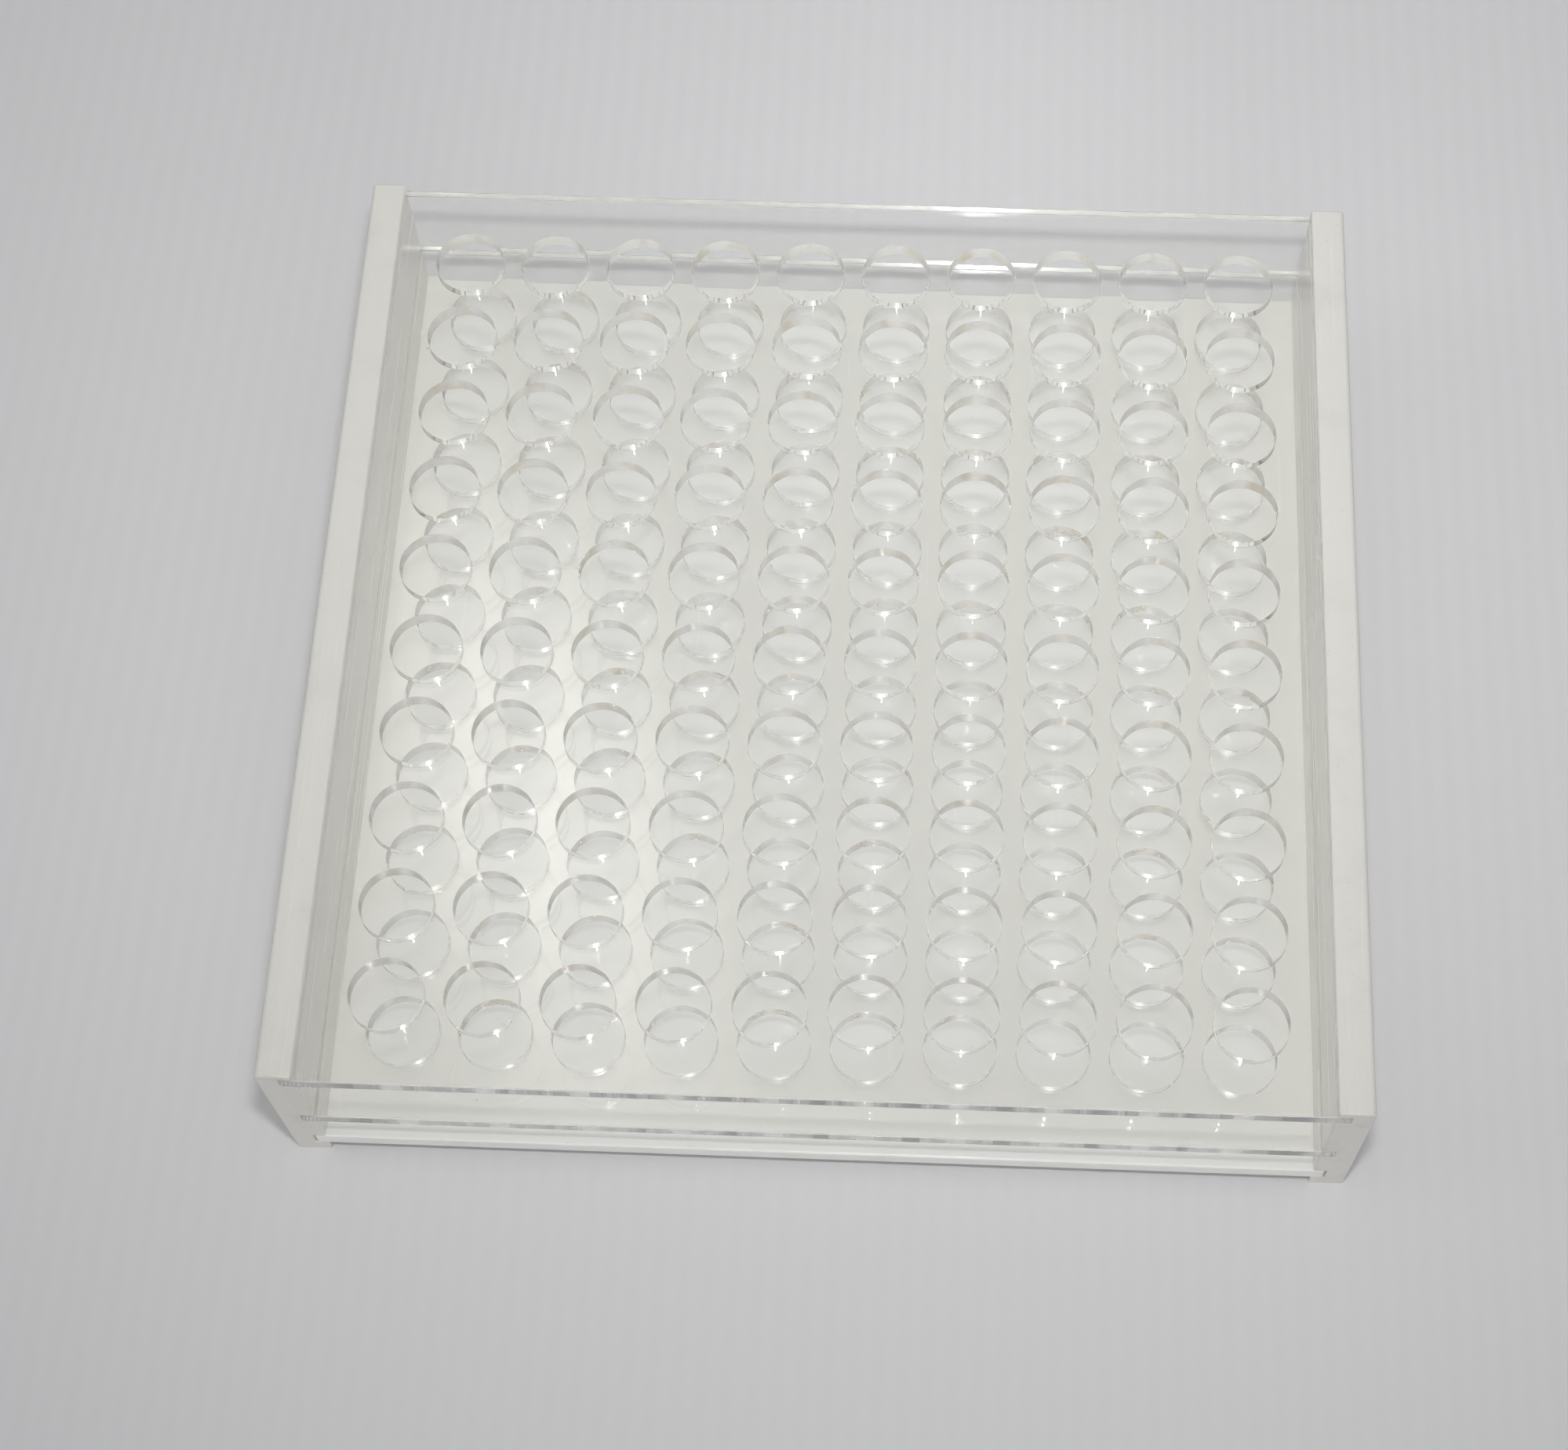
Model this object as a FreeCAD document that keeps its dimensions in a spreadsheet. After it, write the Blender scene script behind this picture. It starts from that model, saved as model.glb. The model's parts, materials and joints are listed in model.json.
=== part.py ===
import FreeCAD, Part
import os
import Sketcher

# A hand-operated capsule filler's holder for 100 capsule bodies. Two grooved side rails
# carry three flat sheets: two clear guide sheets with a square grid of round holes, one
# above the other, and a solid white base sheet that the capsule bodies stand on. The
# base sheet is loose in its grooves and draws out towards the front.
#
# Frame: millimetres, +Z up, +X to the user's right, -Y towards the user. The origin is
# on the table under the middle of the holder.

DRIVING_SIZES = {
    # the grid of capsule holes
    "hole_pitch": 10.5,
    "holes_per_row": 10,
    "hole_diameter": 8.3,
    "rim_break": 0.15,
    # the holder as a whole
    "overall_width": 120.5,
    "overall_depth": 115.0,
    "overall_height": 27.0,
    # the side rails
    "rail_thickness": 4.0,
    "rail_edge_radius": 0.6,
    "groove_depth": 1.5,
    # the sheets, by thickness and by the height of each one's underside
    "guide_thickness": 2.0,
    "upper_guide_level": 23.7,
    "lower_guide_level": 10.6,
    "base_thickness": 2.5,
    "base_level": 2.2,
    # running clearance round the loose base sheet
    "base_clearance": 0.1,
}

DERIVED_SIZES = {
    "grid_length": "=hole_pitch * (holes_per_row - 1)",
    "inner_width": "=overall_width - 2 * rail_thickness",
    "guide_width": "=inner_width + 2 * groove_depth",
    "base_width": "=inner_width + 2 * groove_depth - 2 * base_clearance",
    "base_groove_level": "=base_level - base_clearance",
    "base_groove_height": "=base_thickness + 2 * base_clearance",
    "first_hole": "=0 - hole_pitch * (holes_per_row - 1) / 2",
}


def make_sheet_of_sizes(doc):
    """The spreadsheet that every size below is bound to."""
    sheet = doc.addObject("Spreadsheet::Sheet", "Sizes")
    sizes = {name: str(value) for name, value in DRIVING_SIZES.items()}
    sizes.update(DERIVED_SIZES)
    for row, (name, value) in enumerate(sizes.items(), start=1):
        sheet.set(f"A{row}", name)
        sheet.set(f"B{row}", value)
        sheet.setAlias(f"B{row}", name)
    doc.recompute()
    return sheet


def make_body(doc, label):
    body = doc.addObject("PartDesign::Body", label)
    body.Label = label
    return body


def origin_feature(body, role):
    return next(item for item in body.Origin.OriginFeatures if item.Role == role)


def make_sketch(body, name, plane):
    """An empty sketch on one of the body's own origin planes."""
    sketch = body.newObject("Sketcher::SketchObject", name)
    sketch.AttachmentSupport = [(origin_feature(body, plane), "")]
    sketch.MapMode = "FlatFace"
    return sketch


def constrain(sketch, name, expression, *constraint):
    """Add a named size constraint and bind it to the spreadsheet."""
    index = sketch.addConstraint(Sketcher.Constraint(*constraint))
    sketch.renameConstraint(index, name)
    sketch.setExpression(f"Constraints.{name}", expression)


def draw_rectangle(sketch, left, bottom, width, height):
    """A closed rectangle whose corner and sides are bound to expressions."""
    corners = [FreeCAD.Vector(x, y, 0) for x, y in ((1, 1), (2, 1), (2, 2), (1, 2))]
    lines = [
        sketch.addGeometry(Part.LineSegment(corners[side], corners[(side + 1) % 4]), False)
        for side in range(4)
    ]
    for side in range(4):
        sketch.addConstraint(
            Sketcher.Constraint("Coincident", lines[side], 2, lines[(side + 1) % 4], 1)
        )
    for side, direction in enumerate(("Horizontal", "Vertical", "Horizontal", "Vertical")):
        sketch.addConstraint(Sketcher.Constraint(direction, lines[side]))
    tag = f"r{lines[0]}"
    constrain(sketch, f"{tag}_left", left, "DistanceX", -1, 1, lines[0], 1, 1.0)
    constrain(sketch, f"{tag}_bottom", bottom, "DistanceY", -1, 1, lines[0], 1, 1.0)
    constrain(sketch, f"{tag}_width", width, "DistanceX", lines[0], 1, lines[0], 2, 1.0)
    constrain(sketch, f"{tag}_height", height, "DistanceY", lines[1], 1, lines[1], 2, 1.0)


def make_pad(body, name, sketch, length, both_ways=False):
    pad = body.newObject("PartDesign::Pad", name)
    pad.Profile = sketch
    pad.setExpression("Length", length)
    if both_ways:
        pad.SideType = "Symmetric"
    return pad


def make_rail(doc, label, side):
    """One side rail, grooved on its inner face. side is -1 on the left and 1 on the right."""
    body = make_body(doc, label)
    profile = make_sketch(body, label + "_profile", "XZ_Plane")
    outer = "Sizes.overall_width / 2"
    inner = "Sizes.inner_width / 2"
    left = f"0 mm - {outer} * 1 mm" if side < 0 else f"{inner} * 1 mm"
    draw_rectangle(profile, left, "0 mm", "Sizes.rail_thickness", "Sizes.overall_height")
    make_pad(body, label + "_bar", profile, "Sizes.overall_depth", both_ways=True)

    grooves = (
        ("base", "Sizes.base_groove_level", "Sizes.base_groove_height"),
        ("lower_guide", "Sizes.lower_guide_level", "Sizes.guide_thickness"),
        ("upper_guide", "Sizes.upper_guide_level", "Sizes.guide_thickness"),
    )
    mouth = "(Sizes.inner_width / 2 + Sizes.groove_depth) * 1 mm"
    left = f"0 mm - {mouth}" if side < 0 else f"{inner} * 1 mm"
    for name, level, height in grooves:
        slot = make_sketch(body, f"{label}_{name}_slot", "XZ_Plane")
        draw_rectangle(slot, left, level, "Sizes.groove_depth", height)
        groove = body.newObject("PartDesign::Pocket", f"{label}_{name}_groove")
        groove.Profile = slot
        groove.Type = "ThroughAll"
        groove.SideType = "Symmetric"
    doc.recompute()

    soften_long_edges(doc, body, label)
    return body


def soften_long_edges(doc, body, label):
    """Round the four outer long edges of a rail, as a scraper leaves them."""
    bar = body.Tip
    box = bar.Shape.BoundBox
    names = []
    for number, edge in enumerate(bar.Shape.Edges, start=1):
        middle = edge.BoundBox.Center
        at_side = min(abs(middle.x - box.XMin), abs(middle.x - box.XMax)) < 1e-6
        at_end = min(abs(middle.z - box.ZMin), abs(middle.z - box.ZMax)) < 1e-6
        if at_side and at_end:
            names.append(f"Edge{number}")
    rounding = body.newObject("PartDesign::Fillet", label + "_rounding")
    rounding.Base = (bar, names)
    rounding.setExpression("Radius", "Sizes.rail_edge_radius")
    body.Tip = rounding
    doc.recompute()


def make_blank(body, label, width, thickness):
    """A flat sheet centred on the body's origin, with its underside on z = 0."""
    outline = make_sketch(body, label + "_outline", "XY_Plane")
    draw_rectangle(
        outline,
        f"0 mm - {width} / 2 * 1 mm",
        "0 mm - Sizes.overall_depth / 2 * 1 mm",
        width,
        "Sizes.overall_depth",
    )
    make_pad(body, label + "_blank", outline, thickness)


def make_base_sheet(doc):
    """The white sheet under the capsules."""
    label = "base_sheet"
    body = make_body(doc, label)
    make_blank(body, label, "Sizes.base_width", "Sizes.base_thickness")
    body.setExpression("Placement.Base.z", "Sizes.base_level * 1 mm")
    return body


def make_guide_sheet(doc, label, level):
    """A clear sheet with the square grid of capsule holes, each rim broken by a chamfer."""
    body = make_body(doc, label)
    make_blank(body, label, "Sizes.guide_width", "Sizes.guide_thickness")

    spot = make_sketch(body, label + "_hole_outline", "XY_Plane")
    ring = spot.addGeometry(Part.Circle(FreeCAD.Vector(1, 1, 0), FreeCAD.Vector(0, 0, 1), 2), False)
    constrain(spot, "across", "Sizes.hole_diameter", "Diameter", ring, 1.0)
    constrain(spot, "column", "Sizes.first_hole * 1 mm", "DistanceX", -1, 1, ring, 3, 1.0)
    constrain(spot, "row", "Sizes.first_hole * 1 mm", "DistanceY", -1, 1, ring, 3, 1.0)
    hole = body.newObject("PartDesign::Pocket", label + "_hole")
    hole.Profile = spot
    hole.Type = "ThroughAll"
    hole.Reversed = True
    doc.recompute()

    grid = body.newObject("PartDesign::LinearPattern", label + "_hole_grid")
    grid.Originals = [hole]
    grid.Direction = (origin_feature(body, "X_Axis"), [""])
    grid.Direction2 = (origin_feature(body, "Y_Axis"), [""])
    grid.setExpression("Length", "Sizes.grid_length")
    grid.setExpression("Length2", "Sizes.grid_length")
    grid.setExpression("Occurrences", "Sizes.holes_per_row")
    grid.setExpression("Occurrences2", "Sizes.holes_per_row")
    body.Tip = grid
    doc.recompute()

    break_rims(doc, body, label)
    body.setExpression("Placement.Base.z", f"{level} * 1 mm")
    return body


def break_rims(doc, body, label):
    """Chamfer both rims of every hole."""
    drilled = body.Tip
    names = [
        f"Edge{number}"
        for number, edge in enumerate(drilled.Shape.Edges, start=1)
        if isinstance(edge.Curve, Part.Circle)
    ]
    rims = body.newObject("PartDesign::Chamfer", label + "_rims")
    rims.Base = (drilled, names)
    rims.setExpression("Size", "Sizes.rim_break")
    body.Tip = rims
    doc.recompute()


def check_document(doc):
    """Stop if any object failed to recompute."""
    failed = [item.Name for item in doc.Objects if {"Invalid", "Error"} & set(item.State)]
    if failed:
        raise RuntimeError("failed objects: " + ", ".join(failed))


def check_volume(body, expected, tolerance=0.02):
    """Stop if a body's solid isn't one valid solid of about the volume worked out by hand."""
    shape = body.Shape
    if shape.isNull() or not shape.isValid() or len(shape.Solids) != 1:
        raise RuntimeError(f"{body.Label} has no single valid solid")
    if abs(shape.Volume - expected) > tolerance * expected:
        raise RuntimeError(f"{body.Label} has volume {shape.Volume:.1f}, not {expected:.1f}")
    print(f"{body.Label}: {shape.Volume:.1f} cubic mm")


def expected_volumes():
    """The volume of each piece from its plain sizes, without roundings and chamfers."""
    size = DRIVING_SIZES
    depth = size["overall_depth"]
    groove_heights = 2 * size["guide_thickness"] + size["base_thickness"] + 2 * size["base_clearance"]
    rail_area = size["rail_thickness"] * size["overall_height"] - size["groove_depth"] * groove_heights
    guide_width = size["overall_width"] - 2 * size["rail_thickness"] + 2 * size["groove_depth"]
    hole_area = 3.14159 * size["hole_diameter"] ** 2 / 4
    drilled_area = guide_width * depth - size["holes_per_row"] ** 2 * hole_area
    base_area = (guide_width - 2 * size["base_clearance"]) * depth
    guide = drilled_area * size["guide_thickness"]
    return {
        "left_rail": rail_area * depth,
        "right_rail": rail_area * depth,
        "upper_guide_sheet": guide,
        "lower_guide_sheet": guide,
        "base_sheet": base_area * size["base_thickness"],
    }


def main():
    doc = FreeCAD.newDocument("CapsuleFiller")
    make_sheet_of_sizes(doc)
    bodies = [
        make_rail(doc, "left_rail", -1),
        make_rail(doc, "right_rail", 1),
        make_guide_sheet(doc, "upper_guide_sheet", "Sizes.upper_guide_level"),
        make_guide_sheet(doc, "lower_guide_sheet", "Sizes.lower_guide_level"),
        make_base_sheet(doc),
    ]
    doc.recompute()
    check_document(doc)
    volumes = expected_volumes()
    for body in bodies:
        check_volume(body, volumes[body.Label])
    os.makedirs("parts", exist_ok=True)
    for body in bodies:
        body.Shape.exportStep(f"parts/{body.Label}.step")


main()
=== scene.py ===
import json
import math

import bmesh
import bpy
from mathutils import Matrix, Vector


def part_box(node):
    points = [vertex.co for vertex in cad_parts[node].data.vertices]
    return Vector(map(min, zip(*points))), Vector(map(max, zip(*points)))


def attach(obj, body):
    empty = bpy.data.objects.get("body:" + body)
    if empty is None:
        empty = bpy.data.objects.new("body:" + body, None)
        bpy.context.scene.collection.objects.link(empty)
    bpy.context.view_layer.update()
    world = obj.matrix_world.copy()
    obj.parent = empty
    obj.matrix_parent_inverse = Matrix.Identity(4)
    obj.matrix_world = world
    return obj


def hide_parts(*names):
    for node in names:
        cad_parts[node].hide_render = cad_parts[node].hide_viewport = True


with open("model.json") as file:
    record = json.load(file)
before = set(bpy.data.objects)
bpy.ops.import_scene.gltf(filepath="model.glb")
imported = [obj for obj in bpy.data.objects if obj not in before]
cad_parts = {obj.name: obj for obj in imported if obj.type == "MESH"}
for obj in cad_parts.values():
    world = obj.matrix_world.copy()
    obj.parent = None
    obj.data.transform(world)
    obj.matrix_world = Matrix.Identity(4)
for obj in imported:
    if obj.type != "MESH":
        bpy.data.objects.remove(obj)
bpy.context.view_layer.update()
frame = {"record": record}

# Looks of a capsule filler: two clear guide sheets full of holes, glued between two cream rails, over a
# white base sheet that slides out. Metres, in the frame of the CAD model. Every place comes from the
# frame: the sheets and rails from their nodes, and the grid of holes from the record's own mount.

MM = 0.001
HOLES_PER_ROW = 10
SEGMENTS = 80            # round a hole; a multiple of 4, so that each side of a cell gets a quarter
RIM_STEPS = 2            # facets across the rounded rim of a hole
RIM_ROUND = 0.03 * MM    # the rim of a hole
CUT_ROUND = 0.12 * MM    # the edges of a clear sheet
GLUE_GAP = 0.03 * MM     # film of glue between a clear sheet and its groove
BASE_GAP = 0.10 * MM     # the base sheet's running clearance in its groove
RAIL_ROUND = 0.60 * MM   # long outer edges of a rail
RAIL_BREAK = 0.18 * MM   # its other edges and its sawn ends
BASE_ROUND = 0.22 * MM   # edges of the base sheet
BASE_CORNER = 0.35 * MM  # its four corners, seen from above
LIP_ROUND = 0.06 * MM    # the corners of a groove
LEAST_ROUND = 0.02 * MM  # no corner gets sharper than this
WELD = 0.002 * MM        # points nearer than this are one point
SAME = 0.01 * MM         # coordinates nearer than this lie on one line

RECORD = frame["record"]
HOLE = next(mount for mount in RECORD["mounts"] if mount["name"] == "capsule_hole")
HOLE_RADIUS = HOLE["dims"]["r_mm"] * MM
HOLE_PITCH = 2 * abs(HOLE["pos_m"][0])
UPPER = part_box("upper_guide_sheet")
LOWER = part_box("lower_guide_sheet")
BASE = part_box("base_sheet")


# ---------------------------------------------------------------- meshes

def hole_centres():
    """Hole positions along one side of the square grid."""
    middle = (HOLES_PER_ROW - 1) / 2
    return [(i - middle) * HOLE_PITCH for i in range(HOLES_PER_ROW)]


def cell_lines(low, high):
    """The lines between the cells of the grid, one hole in each, from edge to edge of a sheet."""
    centres = hole_centres()
    return [low] + [(a + b) / 2 for a, b in zip(centres, centres[1:])] + [high]


def quarter_round(radius, steps):
    """Insets and drops of a convex quarter circle, from the flat (radius, 0) to the side (0, radius)."""
    angles = [math.pi / 2 * k / steps for k in range(steps + 1)]
    return [(radius * (1 - math.sin(a)), radius * (1 - math.cos(a))) for a in angles]


class Shell:
    """Collects quads of several kinds, then welds them into one mesh with crisp borders between kinds."""

    def __init__(self):
        self.points = []
        self.faces = []
        self.kinds = []

    def strip(self, loop_a, loop_b, kind, closed=True):
        """Quads between two loops of the same number of points."""
        start = len(self.points)
        count = len(loop_a)
        self.points += list(loop_a) + list(loop_b)
        for k in range(count if closed else count - 1):
            after = (k + 1) % count
            self.faces.append((start + k, start + after, start + count + after, start + count + k))
            self.kinds.append(kind)

    def cap(self, loop, kind):
        """One flat face across a loop."""
        start = len(self.points)
        self.points += list(loop)
        self.faces.append(tuple(range(start, start + len(loop))))
        self.kinds.append(kind)

    def build(self, name, flat_kinds, materials):
        """The welded object. materials gives each kind's material, in the order of the kinds."""
        mesh = bpy.data.meshes.new(name)
        mesh.from_pydata([tuple(p) for p in self.points], [], self.faces)
        for material in materials:
            mesh.materials.append(material)
        work = bmesh.new()
        work.from_mesh(mesh)
        work.faces.ensure_lookup_table()
        for face, kind in zip(work.faces, self.kinds):
            face.material_index = kind
            face.smooth = kind not in flat_kinds
        bmesh.ops.remove_doubles(work, verts=work.verts, dist=WELD)
        bmesh.ops.recalc_face_normals(work, faces=work.faces)
        for edge in work.edges:
            edge.smooth = len({face.material_index for face in edge.link_faces}) == 1
        work.to_mesh(mesh)
        work.free()
        piece = bpy.data.objects.new(name, mesh)
        bpy.context.scene.collection.objects.link(piece)
        return piece


FACE, RIM, WALL, CUT, BREAK = range(5)     # kinds of surface on a guide sheet


def cell_border(x0, x1, y0, y1):
    """Points round a cell's rectangle from its lower left corner, a quarter of SEGMENTS on each side."""
    side = SEGMENTS // 4
    corners = [Vector((x0, y0)), Vector((x1, y0)), Vector((x1, y1)), Vector((x0, y1))]
    return [
        corners[s].lerp(corners[(s + 1) % 4], k / side)
        for s in range(4)
        for k in range(side)
    ]


def circle(centre, radius):
    """Points round a hole, in step with cell_border."""
    first = math.radians(225)
    turns = [first + 2 * math.pi * k / SEGMENTS for k in range(SEGMENTS)]
    return [centre + radius * Vector((math.cos(t), math.sin(t))) for t in turns]


def at_height(loop, z):
    return [Vector((p.x, p.y, z)) for p in loop]


def add_hole(shell, centre, border, bottom, top):
    """The two faces of one cell, and the rounded rims and the wall of its hole."""
    arc = quarter_round(RIM_ROUND, RIM_STEPS)
    upper = [at_height(circle(centre, HOLE_RADIUS + inset), top - drop) for inset, drop in arc]
    lower = [at_height(circle(centre, HOLE_RADIUS + inset), bottom + drop) for inset, drop in arc]
    shell.strip(at_height(border, top), upper[0], FACE)
    shell.strip(at_height(border, bottom), lower[0], FACE)
    for loops in (upper, lower):
        for a, b in zip(loops, loops[1:]):
            shell.strip(a, b, RIM)
    shell.strip(upper[-1], lower[-1], WALL)


def add_cut_edges(shell, border, inner, bottom, top):
    """The sawn edge of the sheet along the sides of a cell that lie on the sheet's outline."""
    (left, front), (right, back) = inner
    arc = quarter_round(CUT_ROUND, 2)

    def outward(p, reach):
        dx = (abs(p.x - right) < SAME) - (abs(p.x - left) < SAME)
        dy = (abs(p.y - back) < SAME) - (abs(p.y - front) < SAME)
        return Vector((p.x + dx * reach, p.y + dy * reach))

    side = SEGMENTS // 4
    for s in range(4):
        run = [border[(s * side + k) % SEGMENTS] for k in range(side + 1)]
        on_edge = (
            abs(run[0].y - front) + abs(run[-1].y - front) < SAME,
            abs(run[0].x - right) + abs(run[-1].x - right) < SAME,
            abs(run[0].y - back) + abs(run[-1].y - back) < SAME,
            abs(run[0].x - left) + abs(run[-1].x - left) < SAME,
        )[s]
        if not on_edge:
            continue
        loops = [[outward(p, CUT_ROUND - inset) for p in run] for inset, drop in arc]
        upper = [at_height(loop, top - drop) for loop, (inset, drop) in zip(loops, arc)]
        lower = [at_height(loop, bottom + drop) for loop, (inset, drop) in zip(loops, arc)]
        for rounded in (upper, lower):
            for a, b in zip(rounded, rounded[1:]):
                shell.strip(a, b, BREAK, closed=False)
        shell.strip(upper[-1], lower[-1], CUT, closed=False)


def make_guide_sheet(name, node, materials):
    """A clear sheet with its grid of holes, standing for a CAD node."""
    low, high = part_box(node)
    inner = (
        (low.x + CUT_ROUND, low.y + CUT_ROUND),
        (high.x - CUT_ROUND, high.y - CUT_ROUND),
    )
    x_lines = cell_lines(inner[0][0], inner[1][0])
    y_lines = cell_lines(inner[0][1], inner[1][1])
    shell = Shell()
    for i, x in enumerate(hole_centres()):
        for j, y in enumerate(hole_centres()):
            border = cell_border(x_lines[i], x_lines[i + 1], y_lines[j], y_lines[j + 1])
            add_hole(shell, Vector((x, y)), border, low.z, high.z)
            add_cut_edges(shell, border, inner, low.z, high.z)
    piece = shell.build(name, {FACE, CUT}, materials)
    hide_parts(node)
    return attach(piece, "holder")


def rounded_outline(corners):
    """A closed outline from (point, radius, steps) corners, each turned into a small arc."""
    outline = []
    count = len(corners)
    for k, (point, radius, steps) in enumerate(corners):
        before = (corners[k - 1][0] - point).normalized()
        after = (corners[(k + 1) % count][0] - point).normalized()
        start, end = point + before * radius, point + after * radius
        centre = point + (before + after) * radius
        for step in range(steps + 1):
            turn = math.pi / 2 * step / steps
            outline.append(
                centre + (start - centre) * math.cos(turn) + (end - centre) * math.sin(turn)
            )
    return outline


def inset_corners(corners, amount):
    """Square corners, anticlockwise, moved inward by an amount; arcs keep their centres."""
    moved = []
    count = len(corners)
    for k, (point, radius, steps) in enumerate(corners):
        along_in = (point - corners[k - 1][0]).normalized()
        along_out = (corners[(k + 1) % count][0] - point).normalized()
        inward = Vector((-along_in.y - along_out.y, along_in.x + along_out.x))
        outer_corner = along_in.x * along_out.y - along_in.y * along_out.x > 0
        left = radius - amount if outer_corner else radius + amount
        moved.append((point + inward * amount, max(left, LEAST_ROUND), steps))
    return moved


def anticlockwise(corners):
    points = [corner[0] for corner in corners]
    area = sum(a.x * b.y - b.x * a.y for a, b in zip(points, points[1:] + points[:1]))
    return corners if area > 0 else corners[::-1]


SIDE, ARC, SAWN, INNER = range(4)          # kinds of surface on a rail and on the base sheet


def rail_corners(low, high, inward):
    """The rail's cross-section in x and z: two rounded outer edges and three grooves on the inner face."""
    outer_x = low.x if inward > 0 else high.x
    inner_x = high.x if inward > 0 else low.x
    floor_x = UPPER[0].x if inward > 0 else UPPER[1].x
    floor_x -= inward * GLUE_GAP
    edge = (RAIL_BREAK, 2)
    lip = (LIP_ROUND, 1)
    corners = [
        (Vector((outer_x, low.z)), RAIL_ROUND, 6),
        (Vector((inner_x, low.z)), *edge),
    ]
    for (bottom, top), gap in ((BASE, BASE_GAP), (LOWER, GLUE_GAP), (UPPER, GLUE_GAP)):
        corners += [
            (Vector((inner_x, bottom.z - gap)), *lip),
            (Vector((floor_x, bottom.z - gap)), *lip),
            (Vector((floor_x, top.z + gap)), *lip),
            (Vector((inner_x, top.z + gap)), *lip),
        ]
    corners += [
        (Vector((inner_x, high.z)), *edge),
        (Vector((outer_x, high.z)), RAIL_ROUND, 6),
    ]
    return anticlockwise(corners)


def make_rail(name, node, materials):
    """A rail with softened ends, standing for a CAD node."""
    low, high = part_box(node)
    inward = 1 if low.x < 0 else -1
    corners = rail_corners(low, high, inward)
    arc = quarter_round(RAIL_BREAK, 2)
    sections = [(rounded_outline(inset_corners(corners, inset)), drop) for inset, drop in arc]
    front = [[Vector((p.x, low.y + drop, p.y)) for p in outline] for outline, drop in sections]
    back = [[Vector((p.x, high.y - drop, p.y)) for p in outline] for outline, drop in sections]
    shell = Shell()
    shell.cap(front[0], SAWN)
    shell.cap(back[0], SAWN)
    for loops in (front, back):
        for a, b in zip(loops, loops[1:]):
            shell.strip(a, b, ARC)
    shell.strip(front[-1], back[-1], SIDE)
    piece = shell.build(name, {SAWN}, materials)
    # Faces turned inward take the fourth material, which is painted lighter than the rail to stand for light
    # falling on the inner faces.
    for polygon in piece.data.polygons:
        if polygon.material_index == SIDE and polygon.normal.x * inward > 0.9:
            polygon.material_index = INNER
    split_by_angle(piece, math.radians(30))
    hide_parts(node)
    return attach(piece, "holder")


def split_by_angle(piece, limit):
    """Marks the edges that turn by more than the limit as crisp."""
    work = bmesh.new()
    work.from_mesh(piece.data)
    for edge in work.edges:
        if len(edge.link_faces) == 2 and edge.calc_face_angle() > limit:
            edge.smooth = False
    work.to_mesh(piece.data)
    work.free()


def make_base(name, node, materials):
    """The white base sheet, with every edge and corner softened, standing for a CAD node."""
    low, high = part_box(node)
    around = [(low.x, low.y), (high.x, low.y), (high.x, high.y), (low.x, high.y)]
    corners = [(Vector(point), BASE_CORNER, 4) for point in around]
    arc = quarter_round(BASE_ROUND, 3)
    outlines = [(rounded_outline(inset_corners(corners, inset)), drop) for inset, drop in arc]
    upper = [at_height(outline, high.z - drop) for outline, drop in outlines]
    lower = [at_height(outline, low.z + drop) for outline, drop in outlines]
    shell = Shell()
    shell.cap(upper[0], SIDE)
    shell.cap(lower[0], SIDE)
    for loops in (upper, lower):
        for a, b in zip(loops, loops[1:]):
            shell.strip(a, b, ARC)
    shell.strip(upper[-1], lower[-1], SAWN)
    piece = shell.build(name, {SIDE}, materials)
    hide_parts(node)
    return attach(piece, "base")


# ---------------------------------------------------------------- materials

ACRYLIC_IOR = 1.49
PLASTIC_IOR = 1.47
RIB_PERIOD = 2.8 * MM    # ribs of the table top


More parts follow.
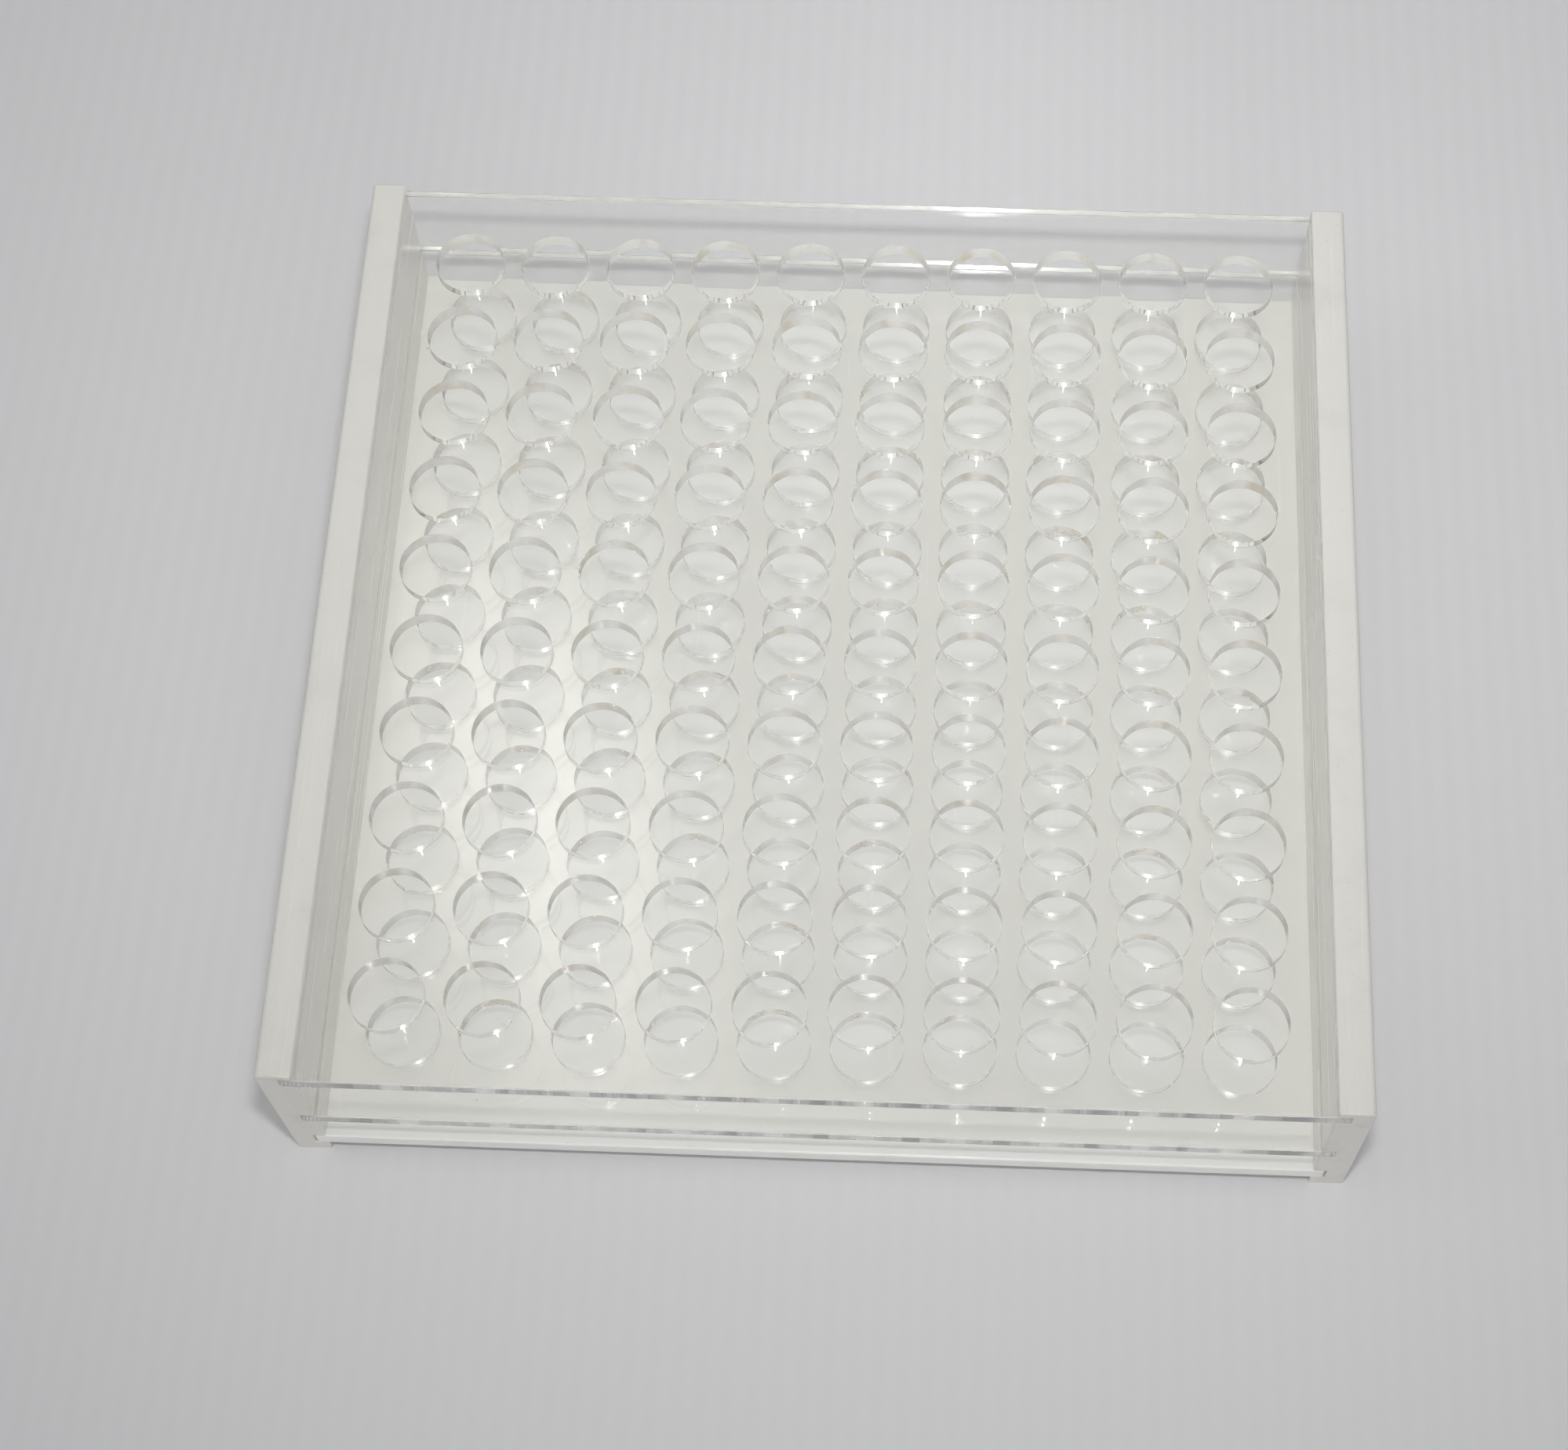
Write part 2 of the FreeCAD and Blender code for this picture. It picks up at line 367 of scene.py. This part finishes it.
class Nodes:
    """Short calls for building a material's node tree."""

    def __init__(self, name):
        self.material = bpy.data.materials.new(name)
        self.material.use_nodes = True
        self.tree = self.material.node_tree
        self.tree.nodes.clear()
        self.output = self.add("ShaderNodeOutputMaterial")
        self.place = self.add("ShaderNodeTexCoord").outputs["Object"]

    def add(self, kind, **settings):
        node = self.tree.nodes.new(kind)
        for key, value in settings.items():
            setattr(node, key, value)
        return node

    def link(self, source, target):
        self.tree.links.new(source, target)

    def put(self, target, value):
        """Links an output to a socket, or sets the socket's own value."""
        if isinstance(value, bpy.types.NodeSocket):
            self.link(value, target)
        else:
            target.default_value = value

    def stretch(self, scale):
        """The object's own coordinates in metres, scaled along each axis."""
        node = self.add("ShaderNodeMapping")
        self.link(self.place, node.inputs["Vector"])
        node.inputs["Scale"].default_value = scale
        return node.outputs["Vector"]

    def noise(self, scale, detail=4.0, roughness=0.55, stretch=(1, 1, 1), distortion=0.0):
        node = self.add("ShaderNodeTexNoise")
        self.link(self.stretch(stretch), node.inputs["Vector"])
        node.inputs["Scale"].default_value = scale
        node.inputs["Detail"].default_value = detail
        node.inputs["Roughness"].default_value = roughness
        node.inputs["Distortion"].default_value = distortion
        return node.outputs["Fac"]

    def specks(self, scale, size, share):
        """Small round specks: 1 inside a speck, in a share of the cells."""
        node = self.add("ShaderNodeTexVoronoi")
        self.link(self.place, node.inputs["Vector"])
        node.inputs["Scale"].default_value = scale
        near = self.ramp(node.outputs["Distance"], size * 0.6, size, 1, 0)
        pick = self.add("ShaderNodeSeparateColor")
        self.link(node.outputs["Color"], pick.inputs[0])
        chosen = self.ramp(pick.outputs[0], share * 0.98, share, 1, 0)
        return self.math("MULTIPLY", near, chosen)

    def ramp(self, value, low, high, out_low=0.0, out_high=1.0):
        node = self.add("ShaderNodeMapRange")
        self.link(value, node.inputs["Value"])
        node.inputs["From Min"].default_value = low
        node.inputs["From Max"].default_value = high
        node.inputs["To Min"].default_value = out_low
        node.inputs["To Max"].default_value = out_high
        return node.outputs["Result"]

    def math(self, operation, a, b=0.0):
        node = self.add("ShaderNodeMath", operation=operation)
        self.put(node.inputs[0], a)
        self.put(node.inputs[1], b)
        return node.outputs["Value"]

    def mix(self, share, a, b):
        """A colour between a and b."""
        node = self.add("ShaderNodeMix", data_type="RGBA")
        self.put(node.inputs["Factor"], share)
        self.put(node.inputs[6], a)
        self.put(node.inputs[7], b)
        return node.outputs[2]

    def axis(self, name):
        node = self.add("ShaderNodeSeparateXYZ")
        self.link(self.place, node.inputs[0])
        return node.outputs[name]

    def bump(self, height, distance, strength=1.0):
        node = self.add("ShaderNodeBump")
        self.link(height, node.inputs["Height"])
        node.inputs["Distance"].default_value = distance
        node.inputs["Strength"].default_value = strength
        return node.outputs["Normal"]

    def principled(self, **values):
        node = self.add("ShaderNodeBsdfPrincipled")
        for key, value in values.items():
            self.put(node.inputs[key.replace("_", " ")], value)
        return node.outputs["BSDF"]

    def finish(self, surface):
        self.link(surface, self.output.inputs["Surface"])
        return self.material


def grey(value):
    return (value, value, value, 1.0)


def let_lamps_through(nodes, surface, tint):
    """Lamps and soft light reach what lies behind the clear sheets; the eye still sees real acrylic."""
    path = nodes.add("ShaderNodeLightPath")
    clear = nodes.add("ShaderNodeBsdfTransparent")
    nodes.put(clear.inputs["Color"], tint)
    for ray in ("Is Diffuse Ray", "Is Shadow Ray"):
        mixer = nodes.add("ShaderNodeMixShader")
        nodes.link(path.outputs[ray], mixer.inputs["Fac"])
        nodes.link(surface, mixer.inputs[1])
        nodes.link(clear.outputs["BSDF"], mixer.inputs[2])
        surface = mixer.outputs["Shader"]
    return surface


def polished_acrylic():
    """The two faces of a clear sheet: clean, with faint smears, a few hairlines and specks of dust."""
    nodes = Nodes("clear acrylic face")
    smear = nodes.noise(55, detail=3, stretch=(1, 0.45, 1), distortion=0.6)
    hair = nodes.noise(900, detail=2, stretch=(1, 0.02, 1))
    hairline = nodes.ramp(hair, 0.70, 0.74)
    dust = nodes.specks(260, 0.055, 0.035)
    smeared = nodes.ramp(smear, 0.45, 0.75, 0.0, 0.035)
    rough = nodes.math("ADD", smeared, nodes.math("MULTIPLY", hairline, 0.03))
    colour = nodes.mix(dust, (0.99, 0.99, 0.975, 1), (0.60, 0.58, 0.53, 1))
    surface = nodes.principled(
        Base_Color=colour, Roughness=rough, IOR=ACRYLIC_IOR, Transmission_Weight=1.0,
    )
    return nodes.finish(let_lamps_through(nodes, surface, (0.995, 0.995, 0.988, 1)))


def bored_acrylic(name, tint, haze, roughness):
    """The wall of a drilled hole: hazy, with rings from the cutter and a beige stain. Light that meets it
    at a slant is turned aside: the haze fades as the Fresnel share grows, and the wall throws a shadow."""
    nodes = Nodes(name)
    rings = nodes.noise(1500, detail=2, stretch=(0.12, 0.12, 1.6))
    stain = nodes.noise(330, detail=3, stretch=(1, 1, 0.6))
    colour = nodes.mix(nodes.ramp(stain, 0.48, 0.72, 0, 0.9), tint, (0.72, 0.65, 0.52, 1))
    rough = nodes.ramp(stain, 0.3, 0.8, *roughness)
    turned_back = nodes.add("ShaderNodeFresnel")
    turned_back.inputs["IOR"].default_value = ACRYLIC_IOR
    clear = nodes.ramp(turned_back.outputs["Fac"], 0.0, 1.0, 1.0 - haze, 1.0)
    passed_on = nodes.ramp(turned_back.outputs["Fac"], 0.04, 0.20, 0.94, 0.70)
    surface = nodes.principled(
        Base_Color=colour, Roughness=rough, IOR=ACRYLIC_IOR, Transmission_Weight=clear,
        Normal=nodes.bump(rings, 0.006 * MM, 0.25),
    )
    return nodes.finish(let_lamps_through(nodes, surface, passed_on))


def sawn_acrylic(name, haze, through):
    """The sawn edge of a clear sheet: fine cutting lines and a slightly frosted look."""
    nodes = Nodes(name)
    lines = nodes.noise(2600, detail=3, stretch=(1, 1, 0.05))
    frost = nodes.noise(700, detail=4)
    rough = nodes.ramp(frost, 0.3, 0.75, 0.04, 0.14)
    colour = nodes.mix(nodes.ramp(frost, 0.5, 0.8, 0, 0.5), (0.90, 0.90, 0.88, 1), (0.76, 0.75, 0.70, 1))
    surface = nodes.principled(
        Base_Color=colour, Roughness=rough, IOR=ACRYLIC_IOR, Transmission_Weight=1.0 - haze,
        Normal=nodes.bump(lines, 0.006 * MM, 0.5),
    )
    return nodes.finish(let_lamps_through(nodes, surface, grey(through)))


def plastic(name, colour, dirt, dirt_share, roughness, lay, bump, coat=0.0):
    """Sheet plastic: soft mottling, long handling scratches along the lay, fine pores and rubbed dirt."""
    nodes = Nodes(name)
    mottle = nodes.noise(38, detail=5, roughness=0.6)
    scratch = nodes.ramp(nodes.noise(1100, detail=3, stretch=lay), 0.62, 0.70)
    pores = nodes.specks(1500, 0.16, 0.10)
    grain = nodes.noise(2200, detail=3)
    rubbed = nodes.ramp(nodes.noise(120, detail=6, roughness=0.65), 0.52, 0.80, 0, dirt_share)
    tone = nodes.mix(nodes.ramp(mottle, 0.3, 0.7), [c * 0.975 for c in colour[:3]] + [1], colour)
    tone = nodes.mix(rubbed, tone, dirt)
    tone = nodes.mix(nodes.math("MULTIPLY", pores, 0.35), tone, dirt)
    patchy = nodes.ramp(mottle, 0.3, 0.75, roughness * 0.85, roughness * 1.2)
    rough = nodes.math("ADD", patchy, nodes.math("MULTIPLY", scratch, 0.12))
    height = nodes.math("SUBTRACT", nodes.math("MULTIPLY", grain, 0.35), scratch)
    surface = nodes.principled(
        Base_Color=tone, Roughness=rough, IOR=PLASTIC_IOR, Coat_Weight=coat, Coat_Roughness=0.08,
        Normal=nodes.bump(height, bump, 0.6),
    )
    return nodes.finish(surface)


def table_top():
    """Plain pale floor with barely visible ribs from front to back."""
    nodes = Nodes("pale floor")
    ribs = nodes.math("SINE", nodes.math("MULTIPLY", nodes.axis("X"), 2 * math.pi / RIB_PERIOD))
    grain = nodes.math("MULTIPLY", nodes.noise(1400, detail=3, stretch=(1, 0.3, 1)), 3.0)
    cloud = nodes.noise(3.5, detail=2)
    mark = nodes.ramp(nodes.math("ADD", ribs, grain), -0.5, 3.5)
    tone = nodes.mix(mark, (0.722, 0.722, 0.735, 1), (0.752, 0.752, 0.764, 1))
    tone = nodes.mix(nodes.ramp(cloud, 0.3, 0.7, 0, 0.5), tone, (0.745, 0.745, 0.752, 1))
    surface = nodes.principled(Base_Color=tone, Roughness=0.62, Specular_IOR_Level=0.3)
    return nodes.finish(surface)


# ---------------------------------------------------------------- pieces

face = polished_acrylic()
rim = bored_acrylic("hole rim", (0.90, 0.895, 0.875, 1), 0.50, (0.10, 0.20))
wall = bored_acrylic("hole wall", (0.87, 0.865, 0.84, 1), 0.80, (0.02, 0.06))
lower_wall = bored_acrylic("lower hole wall", (0.89, 0.89, 0.87, 1), 0.80, (0.22, 0.30))
cut = sawn_acrylic("sawn edge", 0.32, 0.54)
cut_break = sawn_acrylic("sawn edge corner", 0.35, 0.54)
make_guide_sheet("upper_guide_clear", "upper_guide_sheet", [face, rim, wall, cut, cut_break])
make_guide_sheet("lower_guide_clear", "lower_guide_sheet", [face, rim, lower_wall, cut, cut_break])

CREAM = (0.765, 0.75, 0.705, 1)
CREAM_DIRT = (0.40, 0.35, 0.28, 1)
rail_side = plastic("rail", CREAM, CREAM_DIRT, 0.16, 0.24, (1, 0.02, 1), 0.010 * MM)
rail_arc = plastic("rail edges", (0.72, 0.69, 0.62, 1), CREAM_DIRT, 0.60, 0.40, (1, 0.02, 1), 0.010 * MM)
rail_end = plastic("rail sawn ends", (0.70, 0.68, 0.64, 1), CREAM_DIRT, 0.45, 0.45, (1, 1, 0.05), 0.02 * MM)
# Painted light: the inner faces are coloured lighter than the cream of the rail, standing for light that
# falls on them.
rail_inner_painted_light = plastic(
    "rail inner face, painted lighter", (0.895, 0.885, 0.85, 1), CREAM_DIRT, 0.10, 0.24, (1, 0.02, 1), 0.006 * MM,
)
rail_set = [rail_side, rail_arc, rail_end, rail_inner_painted_light]
make_rail("left_rail_shaped", "left_rail", rail_set)
make_rail("right_rail_shaped", "right_rail", rail_set)

WHITE = (0.875, 0.875, 0.85, 1)
WHITE_DIRT = (0.52, 0.48, 0.40, 1)
base_side = plastic("base sheet", WHITE, WHITE_DIRT, 0.07, 0.16, (1, 0.03, 1), 0.004 * MM, coat=0.3)
base_arc = plastic("base sheet edges", WHITE, WHITE_DIRT, 0.22, 0.22, (1, 0.03, 1), 0.004 * MM)
base_cut = plastic(
    "base sheet sawn edge", (0.84, 0.83, 0.80, 1), WHITE_DIRT, 0.2, 0.4, (1, 1, 0.05), 0.015 * MM,
)
make_base("base_sheet_shaped", "base_sheet", [base_side, base_arc, base_cut])


# ---------------------------------------------------------------- floor, light and camera

DOME_LOW, DOME_HIGH = 0.16, 0.445    # radiance of the dome at the horizon and overhead
HORIZON_SEEN = 0.50                  # how bright the horizon looks to the eye, and in glass and gloss
PANEL_WAY = (-160.3, 66.3)           # azimuth and elevation of the warm panel
PANEL_HALF = (0.046, 0.100)          # its half width and height, as sines
PANEL_LIGHT = 1.85

AIM = Vector((4.57, 4.66, 14.0)) * MM
CAMERA_WAY = (2.84, 64.16)           # azimuth and elevation of the camera from its aim
CAMERA_DISTANCE = 353.1 * MM
CAMERA_ROLL = -0.754                 # degrees
LENS = 67.49                         # focal length in mm, on a sensor 36 mm wide
LENS_SHIFT = (-0.060, -0.062)        # as shares of the frame's width

FLASH_ABOVE = 42 * MM                # the flash's place, seen from beside the lens
FLASH_RIGHT = 6.6 * MM
FLASH_SIZE = (26 * MM, 16 * MM)
FLASH_AIM = Vector((15, 90, 0)) * MM
FLASH_SPREAD = 75
PANEL_DISTANCE = 1.2
FLOOR_REACH = 4.0


def direction(azimuth, elevation):
    """The way from the object to what is seen at that azimuth and elevation, in degrees; 0 is the front."""
    a, e = math.radians(azimuth), math.radians(elevation)
    return Vector((math.sin(a) * math.cos(e), -math.cos(a) * math.cos(e), math.sin(e)))


def make_floor():
    mesh = bpy.data.meshes.new("floor")
    work = bmesh.new()
    bmesh.ops.create_grid(work, x_segments=8, y_segments=8, size=FLOOR_REACH)
    work.to_mesh(mesh)
    work.free()
    mesh.materials.append(table_top())
    floor = bpy.data.objects.new("floor", mesh)
    bpy.context.scene.collection.objects.link(floor)


def make_sky():
    """A plain studio dome, brighter overhead, with one soft warm panel high up behind."""
    world = bpy.data.worlds.new("studio")
    bpy.context.scene.world = world
    world.use_nodes = True
    tree = world.node_tree
    tree.nodes.clear()

    def add(kind, **settings):
        node = tree.nodes.new(kind)
        for key, value in settings.items():
            setattr(node, key, value)
        return node

    def math_node(operation, a, b=0.0):
        node = add("ShaderNodeMath", operation=operation)
        for socket, value in zip(node.inputs, (a, b)):
            if isinstance(value, bpy.types.NodeSocket):
                tree.links.new(value, socket)
            else:
                socket.default_value = value
        return node.outputs[0]

    way = add("ShaderNodeTexCoord").outputs["Generated"]

    def along(axis):
        node = add("ShaderNodeVectorMath", operation="DOT_PRODUCT")
        tree.links.new(way, node.inputs[0])
        node.inputs[1].default_value = axis
        return node.outputs["Value"]

    ray = add("ShaderNodeLightPath").outputs
    mirrored = math_node("MAXIMUM", ray["Is Glossy Ray"], ray["Is Transmission Ray"])
    seen = math_node("MAXIMUM", ray["Is Camera Ray"], mirrored)
    low = math_node("ADD", math_node("MULTIPLY", seen, HORIZON_SEEN - DOME_LOW), DOME_LOW)
    height = add("ShaderNodeMapRange")
    tree.links.new(along((0, 0, 1)), height.inputs["Value"])
    tree.links.new(low, height.inputs["To Min"])
    for key, number in (("From Min", 0.0), ("From Max", 0.8), ("To Max", DOME_HIGH)):
        height.inputs[key].default_value = number

    centre = direction(*PANEL_WAY)
    across = Vector((0, 0, 1)).cross(centre).normalized()
    upward = centre.cross(across)

    def squared_share(axis, half):
        return math_node("POWER", math_node("DIVIDE", math_node("ABSOLUTE", along(axis)), half), 2.0)

    off_centre = math_node("ADD", squared_share(across, PANEL_HALF[0]), squared_share(upward, PANEL_HALF[1]))
    glow = math_node("POWER", math.e, math_node("MULTIPLY", off_centre, -1.0))
    ahead = math_node("GREATER_THAN", along(centre), 0.0)
    panel = math_node("MULTIPLY", math_node("MULTIPLY", glow, ahead), PANEL_LIGHT)

    dome = add("ShaderNodeBackground")
    dome.inputs["Color"].default_value = (1.0, 1.0, 1.01, 1)
    tree.links.new(height.outputs["Result"], dome.inputs["Strength"])
    warm = add("ShaderNodeBackground")
    warm.inputs["Color"].default_value = (1.0, 0.985, 0.93, 1)
    tree.links.new(panel, warm.inputs["Strength"])
    both = add("ShaderNodeAddShader")
    tree.links.new(dome.outputs[0], both.inputs[0])
    tree.links.new(warm.outputs[0], both.inputs[1])
    tree.links.new(both.outputs[0], add("ShaderNodeOutputWorld").inputs["Surface"])


def make_lamp(name, place, width, height, radiance, shine=True, soft=True, aim=Vector(), spread=180):
    """A panel of light, of a given brightness whatever its size. Without shine it doesn't show in gloss or
    glass; when it isn't soft it shows only there. The spread of its beam is in degrees."""
    data = bpy.data.lights.new(name, "AREA")
    data.shape = "RECTANGLE"
    data.size, data.size_y = width, height
    data.energy = radiance * width * height * math.pi
    data.spread = math.radians(spread)
    lamp = bpy.data.objects.new(name, data)
    lamp.location = place
    lamp.rotation_mode = "QUATERNION"
    lamp.rotation_quaternion = (place - aim).normalized().to_track_quat("Z", "Y")
    lamp.visible_diffuse = soft
    lamp.visible_glossy = lamp.visible_transmission = shine
    bpy.context.scene.collection.objects.link(lamp)


def make_camera():
    """The camera of the reference view: its place round the aim, a small roll, and a small lens shift."""
    data = bpy.data.cameras.new("camera")
    data.sensor_fit = "HORIZONTAL"
    data.sensor_width = 36.0
    data.lens = LENS
    data.shift_x, data.shift_y = LENS_SHIFT
    data.clip_start, data.clip_end = 0.01, 50
    camera = bpy.data.objects.new("camera", data)
    back = direction(*CAMERA_WAY)
    right = Vector((0, 0, 1)).cross(back).normalized()
    up = back.cross(right)
    turn = math.radians(CAMERA_ROLL)
    rolled_right = right * math.cos(turn) + up * math.sin(turn)
    rolled_up = back.cross(rolled_right)
    rotation = Matrix((rolled_right, rolled_up, back)).transposed()
    camera.matrix_world = Matrix.Translation(AIM + back * CAMERA_DISTANCE) @ rotation.to_4x4()
    bpy.context.scene.collection.objects.link(camera)
    bpy.context.scene.camera = camera


def set_light_paths():
    """Enough bounces for light that is trapped inside a sheet, and plain colours in the picture."""
    scene = bpy.context.scene
    cycles = scene.cycles
    cycles.max_bounces = 40
    cycles.transmission_bounces = 36
    cycles.glossy_bounces = 16
    cycles.diffuse_bounces = 4
    cycles.transparent_max_bounces = 64
    cycles.sample_clamp_indirect = 60.0
    scene.view_settings.view_transform = "Standard"


make_floor()
make_sky()
beside_lens = AIM + direction(*CAMERA_WAY) * (CAMERA_DISTANCE + 3 * MM) + Vector((FLASH_RIGHT, 0, 0))
over_lens = beside_lens + direction(CAMERA_WAY[0], CAMERA_WAY[1] + 90) * FLASH_ABOVE
make_lamp("flash", over_lens, *FLASH_SIZE, 88.0, shine=False, aim=FLASH_AIM, spread=FLASH_SPREAD)
make_lamp("flash_spill", over_lens, *FLASH_SIZE, 32.0, shine=False)
make_lamp("flash_sparkle", beside_lens, 8 * MM, 16 * MM, 800.0, soft=False)
make_lamp("front_panel", direction(5, 15) * PANEL_DISTANCE, 0.50, 0.35, 5.2, shine=False)
make_lamp("left_panel", direction(-85, 38) * PANEL_DISTANCE, 0.50, 0.50, 0.83, shine=False)
make_camera()
set_light_paths()
